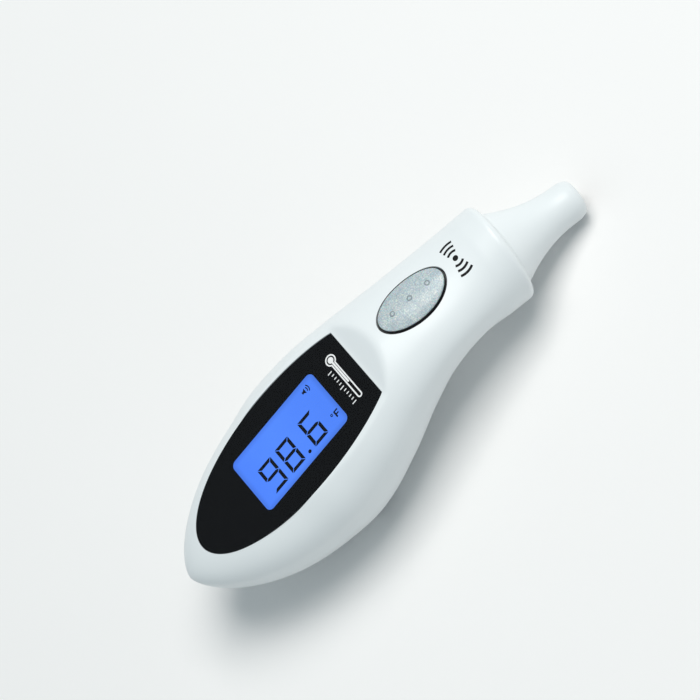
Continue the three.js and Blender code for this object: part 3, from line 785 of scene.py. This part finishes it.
SHELL_WHITE = shell_look()
WINDOW_CLEAR = cover_look()
SURROUND_BLACK = print_look()
DISPLAY_BLUE = display_look()
BUTTON_GREY = button_look()
LOOKS = {
    "shell_white": SHELL_WHITE,
    "window_clear": WINDOW_CLEAR,
    "surround_black": SURROUND_BLACK,
    "display_blue": DISPLAY_BLUE,
    "button_grey": BUTTON_GREY,
    "guide_clear": plastic("guide_clear", (0.82, 0.86, 0.92), 0.25),
    "moulded_white": plastic("moulded_white", (0.72, 0.73, 0.73), 0.5),
    "moulded_dark": plastic("moulded_dark", (0.02, 0.02, 0.023), 0.5),
    "rubber_grey": plastic("rubber_grey", (0.16, 0.17, 0.175), 0.8, tone=0.1),
    "lamp_white": plastic("lamp_white", (0.85, 0.85, 0.75), 0.35),
    "board_green": plastic("board_green", (0.01, 0.10, 0.03), 0.4, grain=2500, tone=0.25),
    "chip_black": plastic("chip_black", (0.012, 0.012, 0.014), 0.6),
    "lens_dark": plastic("lens_dark", (0.012, 0.012, 0.02), 0.08, gloss=0.9),
    "brass": metal("brass", (0.62, 0.44, 0.18), 0.3),
    "gold_plate": metal("gold_plate", (0.83, 0.62, 0.22), 0.2),
    "flex_amber": plastic("flex_amber", (0.45, 0.14, 0.015), 0.35, tone=0.12),
    "steel": metal("steel", (0.60, 0.61, 0.63), 0.25),
}
MARK_BLACK = ink_look("mark_black", (0.003, 0.003, 0.0035), 0.6)
STUD_GREY = ink_look("stud_grey", (0.27, 0.31, 0.33), 0.45)
MARK_WHITE = ink_look("mark_white", (0.80, 0.80, 0.80))
DIGIT_BLACK = ink_look("digit_black", (0.004, 0.007, 0.016), 0.35)

# ---------------------------------------------------------------- camera, light and floor

centre = (cad_low + cad_high) / 2
AIM = centre + Vector((-9.5, 0.9, 3.8)) * MM
AZIMUTH, ELEVATION, ROLL = math.radians(112.73), math.radians(54.44), math.radians(-68.2)
DISTANCE = 1.2
FRAME_SIDE = 158.85 * MM  # what the picture's side spans at the aim


def back_direction(azimuth, elevation):
    return Vector((
        math.sin(azimuth) * math.cos(elevation),
        -math.cos(azimuth) * math.cos(elevation),
        math.sin(elevation),
    ))


def make_camera():
    data = bpy.data.cameras.new("camera")
    data.sensor_width = 36
    data.lens = 36 * DISTANCE / FRAME_SIDE
    data.clip_start, data.clip_end = 0.05, 20
    camera = bpy.data.objects.new("camera", data)
    back = back_direction(AZIMUTH, ELEVATION)
    turn = (-back).to_track_quat("-Z", "Y").to_matrix().to_4x4()
    camera.matrix_world = (
        Matrix.Translation(AIM + back * DISTANCE) @ turn @ Matrix.Rotation(ROLL, 4, "Z"))
    bpy.context.scene.collection.objects.link(camera)
    bpy.context.scene.camera = camera
    return camera


def area_light(name, side, power, place, colour=(1, 1, 1)):
    data = bpy.data.lights.new(name, "AREA")
    data.shape, data.size, data.energy, data.color = "SQUARE", side, power, colour
    light = bpy.data.objects.new(name, data)
    light.location = place
    light.rotation_mode = "QUATERNION"
    light.rotation_quaternion = (Vector(place) - centre).to_track_quat("Z", "Y")
    bpy.context.scene.collection.objects.link(light)


def make_stage():
    mesh = bpy.data.meshes.new("floor")
    side = 1.6
    mesh.from_pydata([(-side, -side, 0), (side, -side, 0), (side, side, 0), (-side, side, 0)],
                     [], [(0, 1, 2, 3)])
    floor = bpy.data.objects.new("floor", mesh)
    n = Nodes("floor_pale")
    n.link(n.ramp(n.noise(12, 3), [(0.3, (0.90, 0.885, 0.875)), (0.7, (0.91, 0.895, 0.885))]),
           n.shader.inputs["Base Color"])
    n.set(Roughness=0.8)
    mesh.materials.append(n.material)
    bpy.context.scene.collection.objects.link(floor)
    world = bpy.data.worlds.new("studio")
    world.use_nodes = True
    world.node_tree.nodes["Background"].inputs["Color"].default_value = (0.795, 0.94, 1, 1)
    world.node_tree.nodes["Background"].inputs["Strength"].default_value = 0.38
    bpy.context.scene.world = world


make_camera()
make_stage()
area_light("key", 0.8, 13.0, (-0.14, 0.5, 1.15), (1, 0.985, 0.96))
area_light("fill", 0.9, 0.3, (0.9, -0.3, 0.7), (0.85, 0.96, 1))
bpy.context.scene.view_settings.view_transform = "Standard"

# ---------------------------------------------------------------- shells and door

front = shell(True)
front = boolean(front, flat_loft(window_outline, [
    (0.24, 3), (0.24, 0.01), (0.17, -0.03), (0.12, -0.12), (0.12, -9)]))
BUTTON_OUTLINE = ellipse(BUTTON_HALF, BUTTON_LENGTH)
front = boolean(front, flared_tool(BUTTON_OUTLINE, BUTTON_PLACE, 0.5, 0.1, -8))
piece("front_shell_skin", front, "housing", SHELL_WHITE, ["front_shell"])

rear_whole = shell(False)
door_tool = flared_tool(behind(door_outline), REAR_PLACE, 0.0, 0.16, 12, outward=False)
door = boolean(rear_whole.copy(), door_tool, "INTERSECT")
rear = boolean(rear_whole, flared_tool(behind(door_outline), REAR_PLACE, 0.14, 0.16, 12))
ledge = flat_loft(rounded_rectangle(TONGUE_HALF + 0.9, LEDGE_START, LEDGE_END, 2.5),
                  [(0, DOOR_LEDGE), (0, LEDGE_TOP)])
ledge = boolean(ledge, flat_loft(circle(0, DOOR_SCREW_AT, LEDGE_BORE),
                                 [(0, -30), (0, LEDGE_TOP - 0.8)]))
rear = boolean(rear, ledge, "UNION")
for x, y, seat in SHELL_SCREWS:
    around = circle(-x, y, SCREW_POST)(0)
    foot = [(-px, py, SCREW_FOOT) for px, py in around]
    post = loft([draped(around, REAR_PLACE, UNDER_SKIN), foot])
    rear = boolean(rear, post, "UNION")
    well = flared_tool(circle(-x, y, SCREW_WELL), REAR_PLACE, 0.0, WELL_EDGE, -seat)
    rear = boolean(rear, well)
piece("rear_shell_skin", rear, "housing", SHELL_WHITE, ["rear_shell"])

rib_top = CELL_TOP - CELL_THICK - 0.3
AT_CELL = Matrix.Translation((0, CELL_AT, 0))
rib_circle = circle(0, CELL_AT, DOOR_RIB, 64)
rib_rings = [draped(rib_circle(0), REAR_PLACE, UNDER_SKIN)]
for inset, drop in ((0, 0.2), (0.2, 0), (1.0, 0), (1.2, 0.2)):
    rib_rings.append([(-x, y, rib_top - drop) for x, y in rib_circle(-inset)])
rib_rings.append(draped(rib_circle(-1.2), REAR_PLACE, UNDER_SKIN))
rib = loft(rib_rings + rib_rings[:1], caps=False)
door = boolean(door, rib, "UNION")
boss = flat_loft(circle(0, DOOR_SCREW_AT - 0.3, BOSS_RADIUS), [
    (0, BOSS_SEAT - 1), (0, DOOR_LEDGE - 0.25), (-0.2, DOOR_LEDGE - 0.05)])
door = boolean(door, boss, "UNION")
well = flared_tool(circle(0, DOOR_SCREW_AT, BOSS_WELL), REAR_PLACE, 0.0, WELL_EDGE, -BOSS_SEAT)
door = boolean(door, well)
door = boolean(door, flat_loft(circle(0, DOOR_SCREW_AT, 1.3), [(0, -30), (0, -12)]))
piece("battery_door_skin", door, "battery_cover", SHELL_WHITE, ["battery_door"])

# ---------------------------------------------------------------- display

COVER_BACK = -0.22  # the print and the display lie close under the cover
PRINT_FRONT, PRINT_BACK = COVER_BACK - 0.02, COVER_BACK - 0.06
GLASS_TOP = PRINT_BACK - 0.01


def with_hole(mesh, outline, low, high):
    return boolean(mesh, flat_loft(outline, [(0, low), (0, high)]))


cover = flat_loft(window_outline, [
    (-0.05, COVER_BACK), (0, COVER_BACK + 0.05), (0, -0.14), (-0.04, -0.05), (-0.12, -0.01),
    (-0.2, 0)])
piece("display_cover", cover, "housing", WINDOW_CLEAR, ["display_window"])

view_outline = rounded_rectangle(
    VIEW_WIDTH / 2, VIEW_CENTRE - VIEW_LENGTH / 2, VIEW_CENTRE + VIEW_LENGTH / 2, 1.5)
surround = flat_loft(window_outline, [(0.05, PRINT_BACK), (0.05, PRINT_FRONT)])
surround = with_hole(surround, view_outline, -3, 0)
piece("display_frame", surround, "housing", SURROUND_BLACK, ["display_surround"])

glass = flat_loft(
    rounded_rectangle(VIEW_WIDTH / 2 + 1.1, VIEW_CENTRE - VIEW_LENGTH / 2 - 1,
                      VIEW_CENTRE + VIEW_LENGTH / 2 + 2.6, 0.6),
    [(-0.1, -4.4), (0, -4.3), (0, GLASS_TOP - 0.1), (-0.1, GLASS_TOP)])
piece("display_panel", glass, "housing", DISPLAY_BLUE, ["display_glass"])

# Digits read along +Y with their tops towards -X.
DIGIT_WIDTH, DIGIT_HEIGHT, STROKE, SEGMENT_GAP = 4.6, 7.8, 0.82, 0.12
DIGIT_FOOT = VIEW_WIDTH / 2 - 1.9  # x of the digits' feet
DIGIT_STARTS = [3.95, 10.2, 18.35]
POINT_AT = 16.6
SEGMENTS = {"9": "abcdfg", "8": "abcdefg", "6": "acdefg"}


def segment_shapes():
    """The seven segments of a digit as outlines, mitred at the corners."""
    w, h, s, g = DIGIT_WIDTH, DIGIT_HEIGHT, STROKE, SEGMENT_GAP
    m = h / 2
    return {
        "a": [(g, h), (w - g, h), (w - s - g, h - s), (s + g, h - s)],
        "d": [(g, 0), (s + g, s), (w - s - g, s), (w - g, 0)],
        "f": [(0, h - g), (s, h - s - g), (s, m + s / 2 + g), (0, m + g)],
        "b": [(w, h - g), (w, m + g), (w - s, m + s / 2 + g), (w - s, h - s - g)],
        "e": [(0, g), (0, m - g), (s, m - s / 2 - g), (s, s + g)],
        "c": [(w, g), (w - s, s + g), (w - s, m - s / 2 - g), (w, m - g)],
        "g": [(g + 0.1, m), (s + g, m + s / 2), (w - s - g, m + s / 2), (w - g - 0.1, m),
              (w - s - g, m - s / 2), (s + g, m - s / 2)],
    }


def on_display(u, v):
    """Display place of a point read along the digits: u to the right, v up."""
    return DIGIT_FOOT - v, VIEW_CENTRE - VIEW_LENGTH / 2 + u


def ink_plate(outline, thick=0.02, base=GLASS_TOP):
    """A thin printed shape on the display."""
    points = [on_display(u, v) for u, v in outline]
    return loft([[(x, y, z) for x, y in points] for z in (base + 0.001, base + thick)])


shapes = []
outlines = segment_shapes()
for digit, start in zip("986", DIGIT_STARTS):
    for letter in SEGMENTS[digit]:
        shapes.append(ink_plate([(start + u, v) for u, v in outlines[letter]]))
shapes.append(ink_plate(circle(POINT_AT, 0.45, 0.45, 28)(0)))
piece("display_digits", joined(shapes), "housing", DIGIT_BLACK)


def line_sides(points, width):
    """A line's points, and half its width square to it at each."""
    path = np.array(points, float)
    ahead = np.gradient(path, axis=0)
    ahead /= np.linalg.norm(ahead, axis=1)[:, None]
    return path, np.stack([-ahead[:, 1], ahead[:, 0]], -1) * width / 2


def stroke(points, width):
    """Outline of a line of even width."""
    path, side = line_sides(points, width)
    return [tuple(p) for p in path + side] + [tuple(p) for p in (path - side)[::-1]]


def arc(u, v, radius, start, stop, count=14):
    return [(u + radius * math.cos(a), v + radius * math.sin(a))
            for a in np.radians(np.linspace(start, stop, count))]


# Unit mark at the lower right and a small sound mark at the upper right of the display.
unit = [stroke(arc(26.0, 2.2, 0.27, 0, 330), 0.22)]
unit += [stroke([(26.9, 0.75), (26.9, 2.5)], 0.42), stroke([(27.13, 2.33), (28.0, 2.33)], 0.36)]
unit += [stroke([(27.13, 1.5), (27.8, 1.5)], 0.34)]
sound = [[(24.0, 12.3), (24.5, 12.3), (25.0, 12.75), (25.0, 11.25), (24.5, 11.7), (24.0, 11.7)]]
sound += [stroke(arc(24.9, 12, 0.75, -45, 45), 0.26), stroke(arc(24.9, 12, 1.3, -45, 45), 0.26)]
piece("display_marks", joined([ink_plate(s) for s in unit + sound]), "housing",
      DIGIT_BLACK)

# ---------------------------------------------------------------- printed marks


def ribbon(points, width, place, lift=0.03, sink=0.08, rows=3):
    """A printed line that follows the skin: a thin closed strip along a path."""
    rings = []
    for centre_point, half in zip(*line_sides(points, width)):
        across = [centre_point + half * t for t in np.linspace(-1, 1, rows)]
        top = draped(across, place, lift)
        bottom = draped(across[::-1], place, -sink)
        rings.append(top + bottom)
    return loft(rings)


def printed_dot(x, y, radius, place, lift=0.03, sink=0.08):
    rings = [draped(circle(x, y, radius, 32)(0), place, -sink)]
    for offset in (0, -radius * 0.5, -radius * 0.97):
        rings.append(draped(circle(x, y, radius, 32)(offset), place, lift))
    return loft(rings)


MARK_AT = 13.6  # from the button's centre towards the probe
mark = [printed_dot(0, MARK_AT, 0.7, BUTTON_PLACE)]
for radius, spread in ((1.9, 38), (3.2, 28), (4.5, 23)):
    for side in (0, 180):
        path = [(radius * math.cos(a), MARK_AT + radius * math.sin(a))
                for a in np.radians(np.linspace(side - spread, side + spread, 15))]
        mark.append(ribbon(path, 0.58, BUTTON_PLACE))
piece("button_mark", joined(mark), "housing", MARK_BLACK)

# Pictogram of a lying thermometer with its scale, printed on the top of the cover.
SIGN_AT, SIGN_LEFT, SIGN_RIGHT = 58.3, -5.6, 6.2
SIGN_LOW, SIGN_HIGH = -0.06, 0.015


def sign_plate(points, low=SIGN_LOW, high=SIGN_HIGH):
    return loft([[(x, SIGN_AT + y, z) for x, y in points] for z in (low, high)])


def sign_outline(grow):
    """Bulb and tube of the pictogram as one outline."""
    bulb, tube = 1.45 + grow, 0.72 + grow
    bend = math.degrees(math.asin(tube / bulb))
    return arc(SIGN_LEFT, 0, bulb, bend, 360 - bend, 30) + arc(SIGN_RIGHT, 0, tube, -90, 90, 12)


sign = [boolean(sign_plate(sign_outline(0)), sign_plate(sign_outline(-0.34), -3, 3))]
column = arc(SIGN_LEFT, 0, 0.78, 18, 342, 24) + arc(1.6, 0, 0.24, -90, 90, 8)
sign.append(sign_plate(column))
for number in range(11):
    x = SIGN_LEFT + 2.0 + number
    tall = 1.25 if number % 5 == 0 else 0.75
    foot, head = -1.5, -1.5 - tall
    sign.append(sign_plate([(x, foot), (x + 0.24, foot), (x + 0.24, head), (x, head)]))
piece("window_sign", joined(sign), "housing", MARK_WHITE)

# ---------------------------------------------------------------- button

CAP_EDGE, CAP_CROWN, CAP_ROUND = 0.36, 0.75, 0.24
CAP_GAP = 0.08
RING_STEP, RING_RADIUS, RING_WIRE = 5.2, 0.55, 0.16


def cap_height(share):
    return CAP_EDGE + CAP_CROWN * (1 - share**3)


def button_cap():
    """Domed cap that follows the neck, with a rolled edge."""
    rings = []
    half_x, half_y = BUTTON_HALF - CAP_GAP, BUTTON_LENGTH - CAP_GAP
    for share in np.linspace(0.02, 0.93, 26):
        outline = ellipse(half_x * share, half_y * share)(0)
        rings.append([BUTTON_PLACE @ Vector((x, y, height_over(BUTTON_PLACE, x, y)
                                             + cap_height(share))) for x, y in outline])
    for degrees in (15, 40, 65, 90):
        a = math.radians(degrees)
        shrink = CAP_ROUND * (1 - math.sin(a)) + CAP_GAP
        lift = cap_height(0.95) - CAP_ROUND * (1 - math.cos(a))
        rings.append(draped(BUTTON_OUTLINE(-shrink), BUTTON_PLACE, lift))
    rings.append(draped(BUTTON_OUTLINE(-CAP_GAP), BUTTON_PLACE, 0.18))
    rings.append(draped(BUTTON_OUTLINE(-CAP_GAP - 0.1), BUTTON_PLACE, 0.12))
    return loft(rings)


def button_body():
    """Body under the cap, with the flange that keeps it in the shell; its dark colour is painted shade, so the gap
    round the cap reads black.
    """
    rings = [draped(BUTTON_OUTLINE(-CAP_GAP - 0.05), BUTTON_PLACE, 0.14)]
    for offset, lift in ((-CAP_GAP - 0.05, -1.0), (0.33, -1.05), (0.38, -1.1), (0.38, -1.8),
                         (-CAP_GAP - 0.05, -1.85)):
        rings.append(draped(BUTTON_OUTLINE(offset), BUTTON_PLACE, lift))
    for offset, level_z in ((-0.13, -3.35), (0.95, -3.38), (1.0, -3.43), (1.0, -4.15), (0.95, -4.2),
                            (-1.2, -4.2), (-1.2, -1.6)):
        rings.append([BUTTON_PLACE @ Vector((x, y, level_z)) for x, y in BUTTON_OUTLINE(offset)])
    stem = lathe([(0, -1.4), (1.2, -1.4), (1.2, -1.95), (1.1, -2.0), (0, -2.0)], BUTTON_PLACE, 32)
    return boolean(loft(rings), stem, "UNION")


piece("scan_button_cap", button_cap(), "button", BUTTON_GREY, ["scan_button"], 40)
# The body's dark colour is painted shade: it makes the gap round the cap read black.
piece("scan_button_body", button_body(), "button", LOOKS["moulded_dark"])
studs = []
for step in (-1, 0, 1):
    y = step * RING_STEP
    top = height_over(BUTTON_PLACE, 0, y) + cap_height(abs(y) / BUTTON_LENGTH)
    at = BUTTON_PLACE @ Matrix.Translation((0, y, top - 0.03))
    profile = [(RING_RADIUS + RING_WIRE * math.cos(a), RING_WIRE * math.sin(a))
               for a in np.linspace(0, 2 * math.pi, 13)]
    profile[-1] = profile[0]
    studs.append(lathe(profile, at, 40))
piece("scan_button_studs", joined(studs), "button", STUD_GREY, sharp=60)

# ---------------------------------------------------------------- probe

FOOT_RADIUS, FOOT_LOW, FOOT_HIGH = 10.85, 0.1, 1.4  # the flange inside the rim
BORE_RADIUS, BORE_TOP = 6.6, 7.0
THROAT_RADIUS, THROAT_TOP = 4.5, 13.2
LENS_SEAT, LENS_SEAT_TOP = 3.9, 24.0


def probe_profile():
    """Outside from the flange up the flare, over the tip's edge and down the stepped bore."""
    profile = [(BORE_RADIUS, FOOT_LOW), (FOOT_RADIUS, FOOT_LOW), (FOOT_RADIUS, FOOT_HIGH),
               (NOZZLE_NECK, FOOT_HIGH)]
    for share in np.linspace(0, 1, 40):
        radius = NOZZLE_TIP + (NOZZLE_NECK - NOZZLE_TIP) * (1 - share) ** 2
        profile.append((radius, FLARE_START + (FLARE_END - FLARE_START) * share))
    for degrees in np.linspace(0, 90, 12)[1:]:
        a = math.radians(degrees)
        radius = NOZZLE_TIP - TIP_ROUND * (1 - math.cos(a))
        profile.append((radius, NOZZLE_REACH - TIP_ROUND_LONG * (1 - math.sin(a))))
    profile += [(TIP_HOLE + 0.12, NOZZLE_REACH), (TIP_HOLE, NOZZLE_REACH - 0.12),
                (TIP_HOLE, LENS_SEAT_TOP), (LENS_SEAT, LENS_SEAT_TOP), (LENS_SEAT, THROAT_TOP),
                (THROAT_RADIUS, THROAT_TOP), (THROAT_RADIUS, BORE_TOP), (BORE_RADIUS, BORE_TOP),
                (BORE_RADIUS, FOOT_LOW)]
    return [(r - SKIN_INSET if r > THROAT_RADIUS + 0.1 and h > FOOT_HIGH else r, h - SKIN_INSET)
            for r, h in profile]


piece("probe_skin", lathe(probe_profile(), NOZZLE_PLACE, 128), "housing",
      SHELL_WHITE, ["probe_nozzle"])
lens = lathe([(0, 23.0), (3.55, 23.0), (3.6, 23.05), (3.6, 23.55), (3.5, 23.68), (2.0, 23.78),
              (0, 23.82)], NOZZLE_PLACE, 64)
piece("probe_lens_disc", lens, "housing", LOOKS["lens_dark"], ["probe_lens"])

# ---------------------------------------------------------------- screws and cell

THREAD_PITCH = 0.45


def cross_recess(place, size, depth):
    """Tapered cross for a driver."""
    arm = 0.17 * size / 0.9
    outline = [(size, arm), (arm, arm), (arm, size), (-arm, size), (-arm, arm), (-size, arm),
               (-size, -arm), (-arm, -arm), (-arm, -size), (arm, -size), (arm, -arm), (size, -arm)]
    rings = []
    for share, height in ((1.1, 1.0), (1.0, 0.0), (0.55, -depth)):
        rings.append([place @ Vector((x * share, y * share, height)) for x, y in outline])
    return loft(rings)


def screw(x, y, head_low, head_high, head_radius, shank_top, shank_radius):
    """Pan head screw with its head towards the belly. Heights are on the display's axis."""
    place = Matrix.Translation((x, y, head_low)) @ Matrix.Rotation(math.pi, 4, "Y")
    tall = head_high - head_low
    r = head_radius
    thread = []
    turns = int((shank_top - head_high) / THREAD_PITCH)
    for k in range(turns):
        z = -tall - THREAD_PITCH * k
        thread += [(shank_radius * 0.82, z - 0.08), (shank_radius, z - 0.22)]
    profile = [(0, 0), (r * 0.6, -0.03), (r * 0.86, -0.12), (r * 0.97, -0.28), (r, -0.45),
               (r, -tall)] + thread + [(0, -tall - THREAD_PITCH * turns - 0.2)]
    return boolean(lathe(profile, place, 48), cross_recess(place, r * 0.62, 0.75))


piece("door_screw_fine", screw(0, DOOR_SCREW_AT, -27.0, -25.9, 2.0, -19.2, 1.0), "battery_cover",
      LOOKS["steel"], ["battery_door_screw"])
for number, (x, y, seat) in enumerate(SHELL_SCREWS, 1):
    fine = screw(x, y, seat - 1.7, seat - 0.35, 1.8, -7.2, 1.0)
    piece(f"shell_screw_{number}_fine", fine, "housing", LOOKS["steel"],
          [f"shell_screw_{number}"])

cell_low = CELL_TOP - CELL_THICK
cell = lathe([
    (0, cell_low), (8.9, cell_low), (9.1, cell_low + 0.04), (9.55, cell_low + 0.04),
    (9.85, cell_low + 0.15), (CELL_RADIUS, cell_low + 0.4), (CELL_RADIUS, CELL_TOP - 0.65),
    (9.85, CELL_TOP - 0.45), (9.4, CELL_TOP - 0.4), (8.9, CELL_TOP - 0.4), (8.75, CELL_TOP - 0.1),
    (8.55, CELL_TOP), (0, CELL_TOP)], AT_CELL)
plus = []
for half_x, half_y in ((1.6, 0.28), (0.28, 1.6)):
    bar = rounded_rectangle(half_x, CELL_AT - half_y, CELL_AT + half_y, 0.2, 4)
    plus.append(flat_loft(bar, [(0, cell_low - 0.06), (0, cell_low + 0.1)]))
piece("coin_cell_fine", joined([cell, *plus]), "housing", LOOKS["steel"], ["coin_cell"])

# ---------------------------------------------------------------- pieces kept from the CAD

slot_of = {s["node"]: s["material_slot"] for s in frame["record"]["subparts"]}
for name, node in frame["nodes"].items():
    node.data.materials.clear()
    node.data.materials.append(LOOKS[slot_of[name]])
    if node.hide_render:
        continue
    bevel = node.modifiers.new("edge", "BEVEL")
    bevel.width = 0.08 * MM
    bevel.segments = 2
    bevel.limit_method = "ANGLE"
    bevel.angle_limit = math.radians(40)
    bevel.use_clamp_overlap = True
